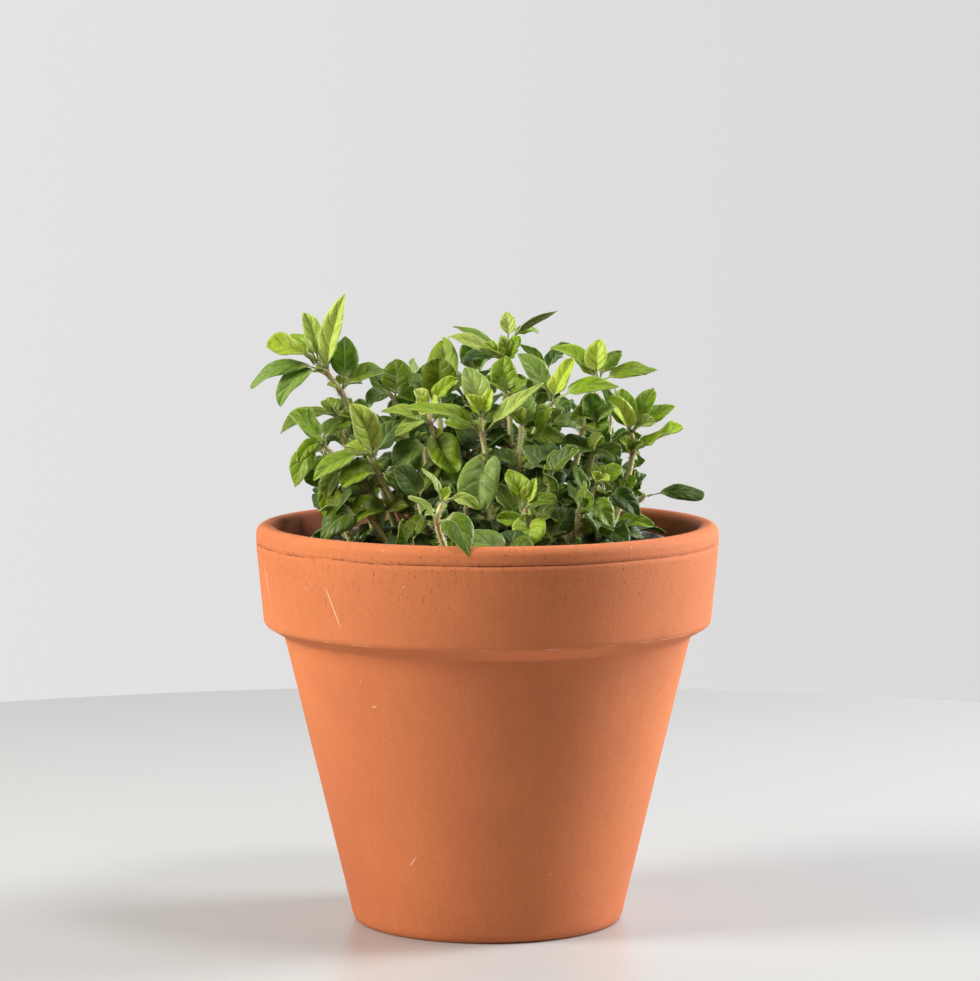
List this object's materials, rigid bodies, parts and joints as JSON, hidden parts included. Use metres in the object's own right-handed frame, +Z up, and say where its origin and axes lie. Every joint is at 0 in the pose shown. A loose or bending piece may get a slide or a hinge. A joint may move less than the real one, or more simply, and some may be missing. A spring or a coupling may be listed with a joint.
{
  "type": "potted oregano",
  "caption": "Oregano plant of leafy square stems rooted in a nursery pot of potting mix, standing inside a thick-lipped terracotta pot with a drain hole.",
  "frame": {"origin": "centre of the terracotta pot's foot, on the surface it stands on", "axes": "+Z up along the pot's axis, +X to the right and -Y towards the viewer of the plant's front"},
  "size_m": [0.152, 0.1527, 0.2055],
  "materials": {
    "terracotta": "matt unglazed clay",
    "nursery_plastic": "satin",
    "potting_mix": "matt, crumbly",
    "foliage": "satin leaf with fine hairs"
  },
  "bodies": {
    "root": {"terracotta_pot": "terracotta", "nursery_pot": "nursery_plastic", "potting_mix": "potting_mix", "sprig_tall_left": "foliage", "sprig_left_side": "foliage", "sprig_left_back": "foliage", "sprig_front_left": "foliage", "sprig_low_left": "foliage", "sprig_centre_left": "foliage", "sprig_centre": "foliage", "sprig_upper_left": "foliage", "sprig_back_left": "foliage", "sprig_top_centre": "foliage", "sprig_centre_high": "foliage", "sprig_centre_right": "foliage", "sprig_right_centre": "foliage", "sprig_right_high": "foliage", "sprig_right_mid": "foliage", "sprig_far_right": "foliage", "sprig_lone_leaf": "foliage", "sprig_low_right": "foliage", "sprig_right_front": "foliage", "sprig_front_right": "foliage", "sprig_over_rim": "foliage", "sprig_front_low": "foliage", "sprig_inner_01": "foliage", "sprig_inner_02": "foliage", "sprig_inner_03": "foliage", "sprig_inner_04": "foliage", "sprig_inner_05": "foliage", "sprig_inner_06": "foliage", "sprig_inner_07": "foliage", "sprig_inner_08": "foliage", "sprig_inner_09": "foliage", "sprig_inner_10": "foliage", "sprig_inner_11": "foliage", "sprig_inner_12": "foliage", "sprig_inner_13": "foliage", "sprig_inner_14": "foliage", "sprig_inner_15": "foliage", "sprig_inner_16": "foliage", "sprig_inner_17": "foliage", "sprig_inner_18": "foliage", "sprig_inner_19": "foliage", "sprig_inner_20": "foliage", "sprig_inner_21": "foliage", "sprig_inner_22": "foliage", "sprig_inner_23": "foliage", "sprig_inner_24": "foliage", "sprig_inner_25": "foliage", "sprig_inner_26": "foliage"}
  },
  "joints": []
}
